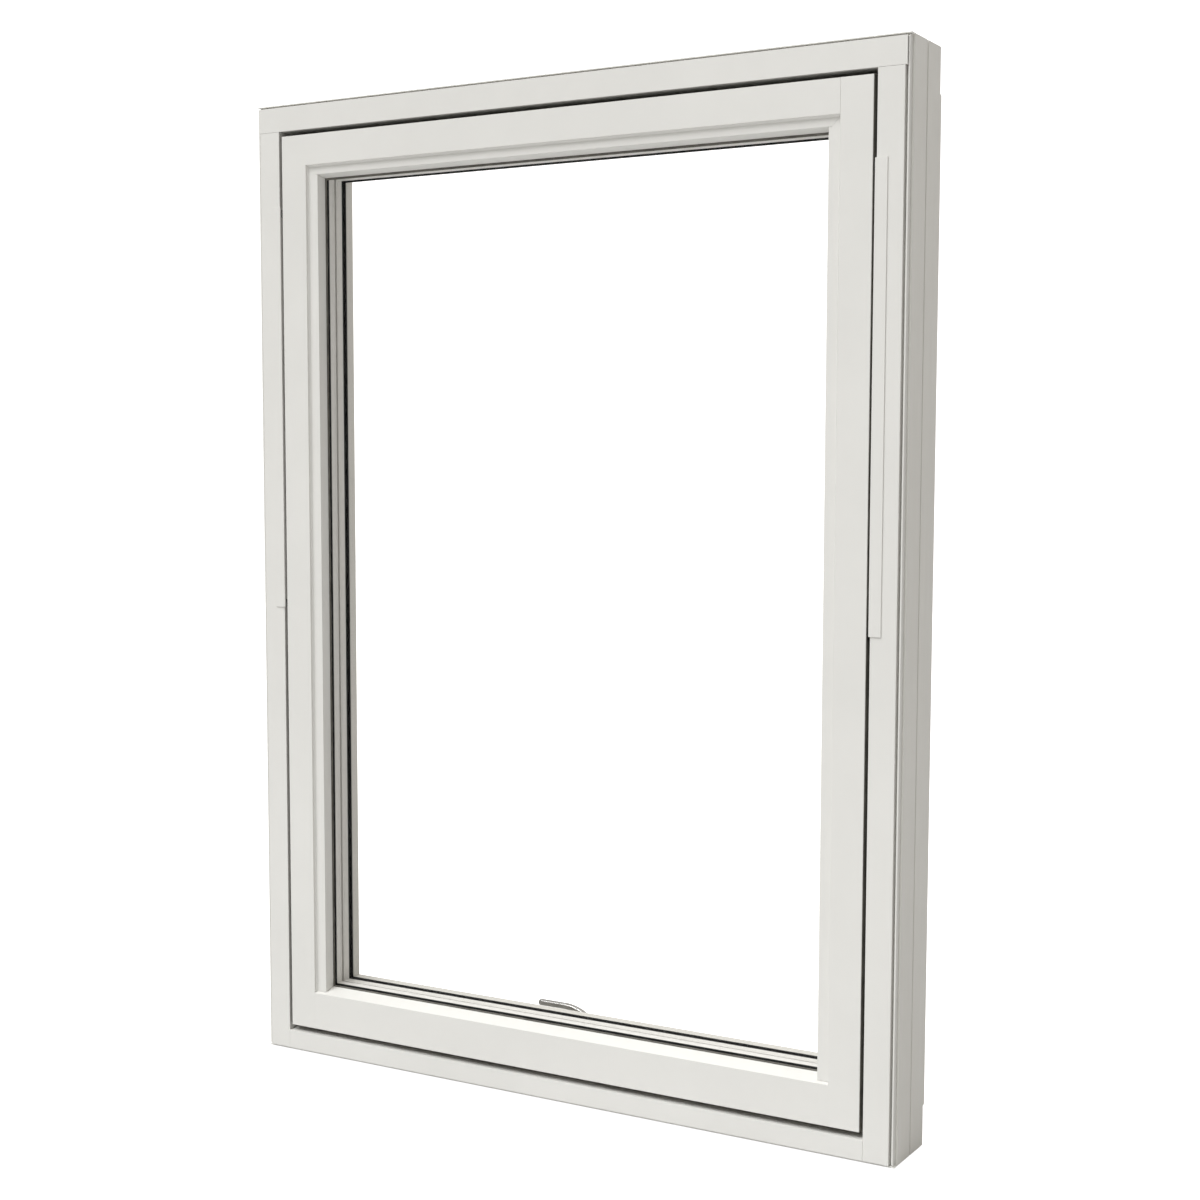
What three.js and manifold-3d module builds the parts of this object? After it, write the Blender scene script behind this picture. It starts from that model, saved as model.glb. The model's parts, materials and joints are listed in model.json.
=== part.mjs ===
// Top-guided outward-opening window: painted timber frame and sash, aluminium outside, triple glazed.
// Millimetres. +Z up, -Y is the weather side, +Y the room, X along the wall.
// Origin: middle of the sill underside, half way through the frame depth.
import * as THREE from 'three';
import { mergeVertices } from 'three/addons/utils/BufferGeometryUtils.js';
import Module from 'manifold-3d';

const wasm = await Module();
wasm.setup();

// ---- driving dimensions -------------------------------------------------------------------
const W = 1076;               // frame width
const H = 1480;               // frame height
const FRAME_DEPTH = 110;      // jambs, aluminium face to room face
const RAIL_DEPTH = 105.5;     // head and sill, 4.5 less than the jambs
const FIT = 0.3;              // gap where one piece rests on another
const SHEET = 2;              // aluminium wall
const TIMBER_D = 12;          // depth at which frame and sash timber starts
const CAP_EDGE = 7.8;         // jamb cap edge in from the frame side
const HEAD_LIP = 4.2;         // head cap edge down from the frame top
const SILL_LIP = 3;           // sill cap edge up from the frame underside
const JAMB_FACE = 37.2;       // visible width of a jamb cap
const HEAD_FACE = 36.5;
const SILL_FACE = 28.4;
const HEAD_OVERHANG = 2.8;    // head cap past the jamb caps
const GAP_SIDE = 5.5;         // frame cap to sash cap
const GAP_TOP = 7.8;
const GAP_BOTTOM = 10;
const SASH_DEPTH = 90;
const STOP_D = 94.5;          // depth of the stop the sash closes towards
const STOP_LAP = 14;          // stop overlap on the sash
const FLAT = 46;              // flat face of stiles and top rail
const FLAT_BOTTOM = 57.6;     // flat face of the bottom rail
const LEDGE_TOP = 60.2;       // sash top to the end of the top rail's ledge
const SIGHT = 64.5;           // sash edge to visible glass at the sides
const SIGHT_TOP = 64;
const SIGHT_LOW = 65.2;
const LIP = 65.5;             // sash edge to the inner timber lip at the sides
const LIP_TOP = 62;
const LIP_LOW = 69.7;
const REBATE = 46;            // sash edge to the bottom of the glazing rebate
const GLASS_D = 27;           // depth of the outer glass face
const PANE = 4;
const CAVITY = 16;
const SEAL_LIP = 2;           // outer glazing gasket past the aluminium
const SEAL_DROP = 2.7;        // inner glazing gasket past the lip of the top rail
const ARM_T = 2.5;
const ARM_W = 22;
const SHOE_DOWN = 7.5;        // guide pivot below the sash top
const STRIP_LOW = 709;        // arm cover strips
const STRIP_HIGH = 1326;
const SPINDLE_Z = 72;
const ROD_Z = [52.5, 58.5];   // lock rods, low and high side
const ROD_D = [56, 64];
const ROD_TRAVEL = 18.85;     // for a quarter turn of the lever

// ---- derived --------------------------------------------------------------------------------
const FACE_Y = -FRAME_DEPTH / 2;                  // weather face of the caps
const yOf = (d) => FACE_Y + d;
const CAP_X = W / 2 - CAP_EDGE;                   // jamb cap outer edge
const CAP_IN = CAP_X - JAMB_FACE;                 // jamb cap inner edge
const SASH_X = CAP_IN - GAP_SIDE;                 // sash half width
const HEAD_LOW = H - HEAD_LIP - HEAD_FACE;
const SILL_HIGH = SILL_LIP + SILL_FACE;
const SASH_TOP = HEAD_LOW - GAP_TOP;
const SASH_LOW = SILL_HIGH + GAP_BOTTOM;
const REBATE_X = CAP_IN + 2.3;                    // jamb timber beside the sash
const STOP_X = SASH_X - STOP_LAP;
const PIVOT_D = SASH_DEPTH / 2;
const SHOE_Z = SASH_TOP - SHOE_DOWN;              // guide shoe pivot, sash shut
const ARM_Z = (SASH_TOP + SASH_LOW) / 2;          // fixed pivot of the arms
const ARM_LEN = (SHOE_Z - ARM_Z) / 2;             // fixed pivot to sash pivot = sash pivot to shoe
const ARM_X = SASH_X + 0.7;                       // arm, side towards the sash
const TIMBER_U = SHEET + FIT;                     // sash timber in from the sash cap edge
const EDGE_X = SASH_X - TIMBER_U;                 // sash timber edge

// ---- materials ------------------------------------------------------------------------------
const mat = (color, roughness, metalness = 0) => () =>
  new THREE.MeshStandardMaterial({ color, roughness, metalness });
const PAINT = mat(0xc9c7c0, 0.5);
const CAP = mat(0xe1e0db, 0.4, 0.1);
const RUBBER = mat(0x15150f, 0.8);
const GLASS = mat(0xdfeeea, 0.05);
const SPACER = mat(0xa2a19c, 0.45, 0.5);
const STEEL = mat(0xa9aaa8, 0.35, 1);
const ALUMINIUM = mat(0xb9bab8, 0.4, 1);
const CHROME = mat(0x9fa09f, 0.25, 1);
const BLACK = mat(0x1c1c1c, 0.55);
const NYLON = mat(0x3a3a3a, 0.6);

const group = new THREE.Group();
group.name = 'top_guided_window';
function add(name, geometry, material) {
  const flat = geometry.index ? geometry.toNonIndexed() : geometry;
  flat.computeVertexNormals();
  const mesh = new THREE.Mesh(flat, material());
  mesh.name = name;
  group.add(mesh);
}

// ---- solid helpers --------------------------------------------------------------------------
function toManifold(geometry) {
  const g = geometry.clone();
  g.deleteAttribute('normal');
  g.deleteAttribute('uv');
  const m = mergeVertices(g, 1e-4);
  return new wasm.Manifold(new wasm.Mesh({
    numProp: 3,
    vertProperties: new Float32Array(m.attributes.position.array),
    triVerts: new Uint32Array(m.index.array),
  }));
}
function fromManifold(solid) {
  const m = solid.getMesh();
  const g = new THREE.BufferGeometry();
  g.setAttribute('position', new THREE.BufferAttribute(new Float32Array(m.vertProperties), 3));
  g.setIndex(new THREE.BufferAttribute(new Uint32Array(m.triVerts), 1));
  return g;
}
function cut(geometry, ...tools) {
  return fromManifold(tools.reduce((s, t) => s.subtract(toManifold(t)), toManifold(geometry)));
}
function join(...pieces) {
  return fromManifold(pieces.map(toManifold).reduce((s, p) => s.add(p)));
}
function box(x0, x1, y0, y1, z0, z1) {
  return new THREE.BoxGeometry(x1 - x0, y1 - y0, z1 - z0)
    .translate((x0 + x1) / 2, (y0 + y1) / 2, (z0 + z1) / 2);
}
// Round bar along X or Y.
function rodX(r, x0, x1, y, z, sides = 24) {
  return new THREE.CylinderGeometry(r, r, x1 - x0, sides).rotateZ(-Math.PI / 2)
    .translate((x0 + x1) / 2, y, z);
}
function rodY(r, y0, y1, x, z, sides = 24) {
  return new THREE.CylinderGeometry(r, r, y1 - y0, sides).translate(x, (y0 + y1) / 2, z);
}
// A section of [u, d] points run along a line; ends may slope with u, so corners can be mitred.
// place(u, d, t) gives the point in space.
function run(section, place, start, end) {
  const at = (f, u, d) => (typeof f === 'function' ? f(u, d) : f);
  const turn = THREE.ShapeUtils.isClockWise(section.map(([u, d]) => new THREE.Vector2(u, d)));
  const loop = turn ? [...section].reverse() : section;
  const contour = loop.map(([u, d]) => new THREE.Vector2(u, d));
  const n = loop.length;
  const pts = [
    ...loop.map(([u, d]) => place(u, d, at(start, u, d))),
    ...loop.map(([u, d]) => place(u, d, at(end, u, d))),
  ];
  const tri = [];
  for (let [a, b, c] of THREE.ShapeUtils.triangulateShape(contour, [])) {
    if (THREE.ShapeUtils.area([contour[a], contour[b], contour[c]]) < 0) [b, c] = [c, b];
    tri.push([a, c, b], [a + n, b + n, c + n]);
  }
  for (let i = 0; i < n; i++) {
    const j = (i + 1) % n;
    tri.push([i, j, j + n], [i, j + n, i + n]);
  }
  const corners = (flip) => tri.flatMap(([a, b, c]) => (flip ? [a, c, b] : [a, b, c]))
    .flatMap((k) => pts[k]);
  const pos = corners(volume(corners(false)) < 0);
  const g = new THREE.BufferGeometry();
  g.setAttribute('position', new THREE.BufferAttribute(new Float32Array(pos), 3));
  return mergeVertices(g, 1e-4);
}
function volume(p) {
  let v = 0;
  for (let i = 0; i < p.length; i += 9) {
    const [ax, ay, az, bx, by, bz, cx, cy, cz] = p.slice(i, i + 9);
    v += ax * (by * cz - bz * cy) - ay * (bx * cz - bz * cx) + az * (bx * cy - by * cx);
  }
  return v;
}
// The four edges of a rectangle: u runs inward from the edge, d back from the weather face.
const edge = {
  left: (x) => (u, d, t) => [-x + u, yOf(d), t],
  right: (x) => (u, d, t) => [x - u, yOf(d), t],
  top: (z) => (u, d, t) => [t, yOf(d), z - u],
  bottom: (z) => (u, d, t) => [t, yOf(d), z + u],
};
const SIDES = [['left', -1], ['right', 1]];
// Box given by distance out from the middle, so that the same call serves both sides.
function sideBox(s, x0, x1, d0, d1, z0, z1) {
  return s < 0 ? box(-x1, -x0, yOf(d0), yOf(d1), z0, z1) : box(x0, x1, yOf(d0), yOf(d1), z0, z1);
}
function sideRod(s, r, x0, x1, d, z, sides) {
  return s < 0 ? rodX(r, -x1, -x0, yOf(d), z, sides) : rodX(r, x0, x1, yOf(d), z, sides);
}
// Rectangular ring seen from the front, between two depths.
function ring(x, z0, z1, xi, zi0, zi1, d0, d1) {
  return cut(box(-x, x, yOf(d0), yOf(d1), z0, z1), box(-xi, xi, yOf(d0) - 1, yOf(d1) + 1, zi0, zi1));
}

// ---- frame timber ---------------------------------------------------------------------------
const TRACK = { x0: REBATE_X + FIT, x1: REBATE_X + 8.3, half: 11, z0: 830, z1: SHOE_Z + 11 };
const BRACKET = { x0: REBATE_X + FIT, x1: REBATE_X + 2.8, half: 15, z: 28 };
const KEEP = { x0: REBATE_X + FIT, x1: REBATE_X + 2.3, d0: 48, d1: 72, z0: 42, z1: 70 };
const GROOVE = { deep: 5, d0: 57.2, d1: 59.6 };    // shadow line worked into the jamb side
const jambU = [W / 2 - REBATE_X, W / 2 - STOP_X];
const jambSection = [
  [0, TIMBER_D], [jambU[0], TIMBER_D], [jambU[0], STOP_D], [jambU[1], STOP_D],
  [jambU[1], FRAME_DEPTH], [0, FRAME_DEPTH], [0, GROOVE.d1], [GROOVE.deep, GROOVE.d1],
  [GROOVE.deep, GROOVE.d0], [0, GROOVE.d0],
];
const GASKET_U = [SASH_X - 11, SASH_X - 4];       // gasket centre band on the jamb stops
for (const [side, s] of SIDES) {
  let jamb = run(jambSection, edge[side](W / 2), 0, H);
  jamb = cut(jamb,
    // rear corners step in where head and sill are shallower
    sideBox(s, 400, 560, RAIL_DEPTH, FRAME_DEPTH + 5, -5, 56),
    sideBox(s, 400, 560, RAIL_DEPTH, FRAME_DEPTH + 5, 1419, H + 5),
    // housings for guide track, arm bracket, lock keep, rod end and gasket
    sideBox(s, REBATE_X - 5, TRACK.x1 + FIT, PIVOT_D - TRACK.half - FIT, PIVOT_D + TRACK.half + FIT,
      TRACK.z0 - FIT, TRACK.z1 + FIT),
    sideBox(s, REBATE_X - 5, BRACKET.x1 + FIT, PIVOT_D - BRACKET.half - FIT,
      PIVOT_D + BRACKET.half + FIT, ARM_Z - BRACKET.z - FIT, ARM_Z + BRACKET.z + FIT),
    sideBox(s, REBATE_X - 5, KEEP.x1 + FIT, KEEP.d0 - FIT, KEEP.d1 + FIT, KEEP.z0 - FIT, KEEP.z1 + FIT),
    sideBox(s, REBATE_X - 5, REBATE_X + 12, ROD_D[0] - 2, ROD_D[1] + 2, ROD_Z[0] - 2, ROD_Z[1] + 2),
    sideBox(s, GASKET_U[0] + 1.5, GASKET_U[1] - 1.5, STOP_D - 5, STOP_D + 5, 44, SHOE_Z - 19.5));
  add(`${side}_jamb_timber`, jamb, PAINT);
}
const inner = REBATE_X - FIT;
const stopEnd = STOP_X - FIT;
const headSection = [
  [0, TIMBER_D], [0, RAIL_DEPTH], [H - SASH_TOP + STOP_LAP, RAIL_DEPTH],
  [H - SASH_TOP + STOP_LAP, STOP_D], [H - HEAD_LOW - 2.2, STOP_D], [H - HEAD_LOW - 2.2, TIMBER_D],
];
const sillSection = [
  [0, TIMBER_D], [SILL_HIGH - 0.4, TIMBER_D], [SILL_HIGH + 4.6, STOP_D],
  [SASH_LOW + STOP_LAP, STOP_D], [SASH_LOW + STOP_LAP, RAIL_DEPTH], [0, RAIL_DEPTH],
];
const endNotch = (z0, z1) => [-1, 1].map((s) =>
  sideBox(s, stopEnd, 600, STOP_D - FIT, RAIL_DEPTH + 5, z0, z1));
const HEAD_GASKET = [SASH_TOP - 11, SASH_TOP - 4];
const SILL_GASKET = [SASH_LOW + 3.5, SASH_LOW + 10.5];
add('head_timber', cut(run(headSection, edge.top(H), -inner, inner), ...endNotch(1300, H + 5),
  box(-stopEnd - 5, stopEnd + 5, yOf(STOP_D - 5), yOf(STOP_D + 5), HEAD_GASKET[0] + 1.5,
    HEAD_GASKET[1] - 1.5)), PAINT);
add('sill_timber', cut(run(sillSection, edge.bottom(0), -inner, inner), ...endNotch(-5, 100),
  box(-stopEnd - 5, stopEnd + 5, yOf(STOP_D - 5), yOf(STOP_D + 5), SILL_GASKET[0] + 1.5,
    SILL_GASKET[1] - 1.5)), PAINT);

// ---- clip rails: edge profile between timber and aluminium ----------------------------------
const railSection = (lip0, lip1) => [
  [lip0, 3], [lip1, 3], [lip1, 9.7], [24, 9.7], [24, 11.7], [lip0, 11.7],
];
const jambRail = railSection(2.7, 5);
const mitre = (end) => [(u) => -end + u + 0.15, (u) => end - u - 0.15];
const upMitre = [(u) => u + 0.15, (u) => H - u - 0.15];
add('left_clip_rail', run(jambRail, edge.left(W / 2), ...upMitre), CAP);
add('right_clip_rail', run(jambRail, edge.right(W / 2), ...upMitre), CAP);
add('head_clip_rail', run(railSection(0, 1.6), edge.top(H), ...mitre(W / 2)), CAP);
add('sill_clip_rail', run(railSection(0, 2.2), edge.bottom(0), ...mitre(W / 2)), CAP);

// ---- frame caps -----------------------------------------------------------------------------
const jambCap = [
  [0, 0], [JAMB_FACE, 0], [JAMB_FACE, 14], [JAMB_FACE - SHEET, 14], [JAMB_FACE - SHEET, SHEET],
  [SHEET, SHEET], [SHEET, 9.4], [0, 9.4],
];
for (const [side, s] of SIDES) {
  const cap = run(jambCap, edge[side](CAP_X), SILL_LIP, HEAD_LOW - FIT);
  const footRoom = sideBox(s, CAP_IN - 5, CAP_IN + 5, 9.4, 20, 0, SILL_HIGH + 2);
  add(`${side}_jamb_cap`, cut(cap, footRoom), CAP);
}
const headCap = [
  [0, 0], [HEAD_FACE, 0], [HEAD_FACE, 20], [HEAD_FACE - SHEET, 20], [HEAD_FACE - SHEET, SHEET],
  [21, SHEET], [21, 9.4], [19, 9.4], [19, SHEET], [SHEET, SHEET], [SHEET, 9.4], [0, 9.4],
];
const headCapEnd = CAP_X + HEAD_OVERHANG;
add('head_cap', cut(run(headCap, edge.top(H - HEAD_LIP), -headCapEnd, headCapEnd),
  // the legs stop short of the edge profile, only the front sheet runs past it
  ...[-1, 1].flatMap((s) => [
    sideBox(s, CAP_IN, 600, 9.4, 30, HEAD_LOW - 5, HEAD_LOW + 5),
    sideBox(s, W / 2 - 5 - FIT, 600, SHEET + 0.2, 30, HEAD_LOW - 5, H + 5),
  ])), CAP);
const sillCap = [
  [0, 0], [SILL_FACE, 0], [SILL_FACE + 1.6, 18], [SILL_FACE + 0.4, 18], [SILL_FACE + 0.1, 11.6],
  [SILL_FACE - SHEET, SHEET], [SHEET, SHEET], [SHEET, 9.4], [0, 9.4],
];
add('sill_cap', run(sillCap, edge.bottom(SILL_LIP), -CAP_IN + FIT, CAP_IN - FIT), CAP);

// ---- arm cover strips with their end plugs ---------------------------------------------------
const stripU = [[0, -1.5], [17.5, -1.5], [17.5, -FIT], [1.4, -FIT], [1.4, 13], [0, 13]];
for (const [side, s] of SIDES) {
  const place = side === 'left'
    ? (u, d, t) => [-(CAP_IN - 1.7) - u, yOf(d), t] : (u, d, t) => [CAP_IN - 1.7 + u, yOf(d), t];
  add(`${side}_cover_strip`, run(stripU, place, STRIP_LOW, STRIP_HIGH), CAP);
  const plug = (z) => sideBox(s, SASH_X + 1.1, CAP_IN - 2, 1.5, 12.5, z, z + 12);
  add(`${side}_strip_plug_upper`, plug(STRIP_HIGH - 16), BLACK);
  add(`${side}_strip_plug_lower`, plug(STRIP_LOW), BLACK);
}

// ---- guide tracks, arm brackets, lock keeps --------------------------------------------------
const trackSection = (() => {
  const { x0, x1, half } = TRACK;
  const w = 1.5, slot = 6;
  return [
    [x0, -half], [x1, -half], [x1, half], [x0, half], [x0, slot], [x0 + w, slot],
    [x0 + w, half - w], [x1 - w, half - w], [x1 - w, w - half], [x0 + w, w - half],
    [x0 + w, -slot], [x0, -slot],
  ];
})();
for (const [side, s] of SIDES) {
  const place = (x, q, t) => [s * x, yOf(PIVOT_D + q), t];
  add(`${side}_guide_track`, run(trackSection, place, TRACK.z0, TRACK.z1), ALUMINIUM);
  add(`${side}_arm_bracket`, join(
    sideBox(s, BRACKET.x0, BRACKET.x1, PIVOT_D - BRACKET.half, PIVOT_D + BRACKET.half,
      ARM_Z - BRACKET.z, ARM_Z + BRACKET.z),
    sideRod(s, 5, ARM_X - 0.4, BRACKET.x1 - 0.5, PIVOT_D, ARM_Z),
    sideRod(s, 8, ARM_X - 2.2, ARM_X - 0.3, PIVOT_D, ARM_Z)), STEEL);
  add(`${side}_lock_keep`, cut(
    sideBox(s, KEEP.x0, KEEP.x1, KEEP.d0, KEEP.d1, KEEP.z0, KEEP.z1),
    sideBox(s, KEEP.x0 - 5, KEEP.x1 + 5, ROD_D[0] - 1, ROD_D[1] + 1, ROD_Z[0] - 1, ROD_Z[1] + 1)), STEEL);
}

// ---- frame gaskets ---------------------------------------------------------------------------
// Bulb towards the sash, stem in the groove of the stop; [across, depth] about the groove middle.
const bulb = [
  [-2.6, STOP_D - FIT], [-3.2, STOP_D - 1.8], [-2.2, STOP_D - 3.2], [0, STOP_D - 3.7],
  [2.2, STOP_D - 3.2], [3.2, STOP_D - 1.8], [2.6, STOP_D - FIT], [1.4, STOP_D - FIT],
  [1.4, STOP_D + 4.2], [-1.4, STOP_D + 4.2], [-1.4, STOP_D - FIT],
];
const gasketX = (GASKET_U[0] + GASKET_U[1]) / 2;
for (const [side, s] of SIDES) {
  add(`${side}_frame_gasket`, run(bulb, (q, d, t) => [s * (gasketX + q), yOf(d), t], 45,
    SHOE_Z - 20), RUBBER);
}
const headGasketZ = (HEAD_GASKET[0] + HEAD_GASKET[1]) / 2;
const sillGasketZ = (SILL_GASKET[0] + SILL_GASKET[1]) / 2;
add('head_frame_gasket', run(bulb, (q, d, t) => [t, yOf(d), headGasketZ + q], -stopEnd + 1,
  stopEnd - 1), RUBBER);
add('sill_frame_gasket', run(bulb, (q, d, t) => [t, yOf(d), sillGasketZ + q], -stopEnd + 1,
  stopEnd - 1), RUBBER);

// ---- sash timber -----------------------------------------------------------------------------
const lipDepth = GLASS_D + 3 * PANE + 2 * CAVITY + 3;     // front of the inner timber lip
const sashSection = (lip) => [
  [TIMBER_U, TIMBER_D], [REBATE, TIMBER_D], [REBATE, lipDepth], [lip, lipDepth],
  [lip, SASH_DEPTH], [TIMBER_U, SASH_DEPTH],
];
const PLATE = { x0: EDGE_X - 3.3, x1: EDGE_X - FIT, half: 9, z0: ARM_Z + ARM_LEN - 25, z1: SASH_TOP - 3 };
const rodChannel = box(-600, 600, yOf(ROD_D[0] - 0.4), yOf(ROD_D[1] + 0.4), SASH_LOW - 5, ROD_Z[1] + 0.4);
for (const [side, s] of SIDES) {
  const stile = run(sashSection(LIP), edge[side](SASH_X), SASH_LOW + TIMBER_U, SASH_TOP - TIMBER_U);
  add(`${side}_stile_timber`, cut(stile, rodChannel,
    sideBox(s, PLATE.x0 - FIT, SASH_X + 5, PIVOT_D - PLATE.half - FIT, PIVOT_D + PLATE.half + FIT,
      PLATE.z0 - FIT, SASH_TOP + 5),
    sideRod(s, 4.6, EDGE_X - 10, SASH_X, PIVOT_D, SHOE_Z)), PAINT);
}
const railEnd = SASH_X - REBATE - FIT;
const lipEnd = SASH_X - LIP - FIT;
const lipNotch = (z0, z1) => [-1, 1].map((s) =>
  sideBox(s, lipEnd, 600, lipDepth - FIT, SASH_DEPTH + 5, z0, z1));
const topRail = run(sashSection(LIP_TOP), edge.top(SASH_TOP), -railEnd, railEnd);
add('top_rail_timber', cut(topRail, ...lipNotch(1300, H)), PAINT);
const bottomRail = run(sashSection(LIP_LOW), edge.bottom(SASH_LOW), -railEnd, railEnd);
const GEARBOX = { half: 24, d0: 50, d1: 67, z0: ROD_Z[1] + 0.7, z1: 84 };
const FACEPLATE = { half: 150, d0: 52, d1: 68, z0: SASH_LOW + 2.4, z1: SASH_LOW + 4.9 };
add('bottom_rail_timber', cut(bottomRail, ...lipNotch(0, 200), rodChannel,
  box(-GEARBOX.half - FIT, GEARBOX.half + FIT, yOf(GEARBOX.d0 - FIT), yOf(GEARBOX.d1 + FIT),
    SASH_LOW - 5, GEARBOX.z1 + FIT),
  box(-FACEPLATE.half - FIT, FACEPLATE.half + FIT, yOf(FACEPLATE.d0 - FIT), yOf(FACEPLATE.d1 + FIT),
    SASH_LOW - 5, FACEPLATE.z1 + FIT),
  rodY(6.5, yOf(60), yOf(SASH_DEPTH + 5), 0, SPINDLE_Z)), PAINT);

// ---- sash caps: flat face, quirk step, ledge, reveal back to the glazing gasket ---------------
const FOOT = GLASS_D - 3;                         // back of the reveal
const capSection = [
  [0, 0], [FLAT, 0], [FLAT + 0.3, 3], [FLAT + 2.5, 5.5], [SIGHT, 5.5], [SIGHT, FOOT],
  [52, FOOT], [52, FOOT - SHEET],
  [SIGHT - SHEET, FOOT - SHEET], [SIGHT - SHEET, 7.5], [FLAT + 1, 7.5], [FLAT, 5.1],
  [FLAT - 1.3, SHEET], [SHEET, SHEET], [SHEET, 16], [0, 16],
];
const topSection = capSection.map(([u, d]) => (
  u === SIGHT ? [d === FOOT ? SIGHT_TOP : LEDGE_TOP, d]
    : u === SIGHT - SHEET ? [(d === 7.5 ? LEDGE_TOP + 0.4 : SIGHT_TOP - 0.4) - SHEET, d] : [u, d]));
const fall = (SIGHT_TOP - LEDGE_TOP) / (FOOT - 5.5);      // top reveal leans in towards the glass
const slope = (SIGHT_LOW - FLAT_BOTTOM) / FOOT;           // bottom rail sheds water outwards
const bottomSection = [
  [0, 0], [FLAT_BOTTOM, 0], [SIGHT_LOW, FOOT], [52, FOOT], [52, FOOT - SHEET],
  [SIGHT_LOW - 2.8, FOOT - SHEET], [FLAT_BOTTOM - 1.6, SHEET], [SHEET, SHEET], [SHEET, 16], [0, 16],
];
const butt = SASH_X - FLAT - 0.15;
for (const [side] of SIDES) {
  const place = edge[side](SASH_X);
  const stile = run(capSection, place, SASH_LOW, SASH_TOP);
  const block = (u0, u1, d0, d1) => [[u0, d0], [u1, d0], [u1, d1], [u0, d1]];
  // above: mitred along the quirk and ledge, then cut to the lean of the top reveal
  const mitreCut = run(block(FLAT, LEDGE_TOP, -2, 7.6), place, (u) => SASH_TOP - u - 0.1, SASH_TOP + 5);
  const ledgeCut = run(block(LEDGE_TOP - 0.05, 90, -2, 7.6), place, SASH_TOP - LEDGE_TOP - 0.1,
    SASH_TOP + 5);
  const lean = (u, d) => SASH_TOP - LEDGE_TOP - fall * (d - 5.5) - 0.3;
  const leanCut = run(block(LEDGE_TOP - 0.05, 90, 5.5, 40), place, lean, SASH_TOP + 5);
  const backCut = run(block(FLAT + 1, LEDGE_TOP, 7.55, 40), place, lean, SASH_TOP + 5);
  const under = run(block(FLAT - 0.05, 90, -2, 40), place,
    SASH_LOW - 5, (u, d) => SASH_LOW + FLAT_BOTTOM + slope * d + 0.3);
  const legEnd = (z0, z1) => sideBox(side === 'left' ? -1 : 1, SASH_X - FLAT - 1.5, SASH_X - SHEET - 0.1,
    SHEET, 60, z0, z1);
  add(`${side}_stile_cap`, cut(stile, mitreCut, ledgeCut, leanCut, backCut, under,
    legEnd(SASH_TOP - SHEET - FIT, SASH_TOP + 5), legEnd(SASH_LOW - 5, SASH_LOW + SHEET + FIT)), CAP);
}
const topEnd = (u) => SASH_X - Math.min(Math.max(u, FLAT), LEDGE_TOP) - 0.15;
add('top_rail_cap', run(topSection, edge.top(SASH_TOP), (u) => -topEnd(u), topEnd), CAP);
add('bottom_rail_cap', run(bottomSection, edge.bottom(SASH_LOW), -butt, butt), CAP);

// ---- glazing ---------------------------------------------------------------------------------
const glassX = SASH_X - 50;
const glassZ = [SASH_LOW + 54, SASH_TOP - 49];            // bottom edge stands on setting blocks
const paneD = [0, 1, 2].map((i) => GLASS_D + i * (PANE + CAVITY));
['outer_pane', 'middle_pane', 'inner_pane'].forEach((name, i) => {
  add(name, box(-glassX, glassX, yOf(paneD[i]), yOf(paneD[i] + PANE), glassZ[0], glassZ[1]), GLASS);
});
['outer_spacer', 'inner_spacer'].forEach((name, i) => {
  const d = paneD[i] + PANE;
  add(name, ring(glassX - 3, glassZ[0] + 3, glassZ[1] - 3, glassX - 14, glassZ[0] + 14, glassZ[1] - 14,
    d + FIT, d + CAVITY - FIT), SPACER);
});
add('outer_glazing_gasket', ring(glassX - 3, glassZ[0] + 2, glassZ[1] - 3, SASH_X - SIGHT - SEAL_LIP,
  SASH_LOW + SIGHT_LOW + SEAL_LIP, SASH_TOP - SIGHT_TOP - SEAL_LIP - 1, FOOT + FIT, GLASS_D - FIT), RUBBER);
add('inner_glazing_gasket', ring(SASH_X - 55, SASH_LOW + 59, SASH_TOP - 53, SASH_X - LIP,
  SASH_LOW + LIP_LOW, SASH_TOP - LIP_TOP - SEAL_DROP, lipDepth - 3 + FIT, lipDepth - FIT), RUBBER);
for (const [side, s] of SIDES) {
  add(`${side}_setting_block`, sideBox(s, 260, 340, GLASS_D, lipDepth - 3, SASH_LOW + REBATE + FIT,
    glassZ[0] - FIT), NYLON);
}

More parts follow.
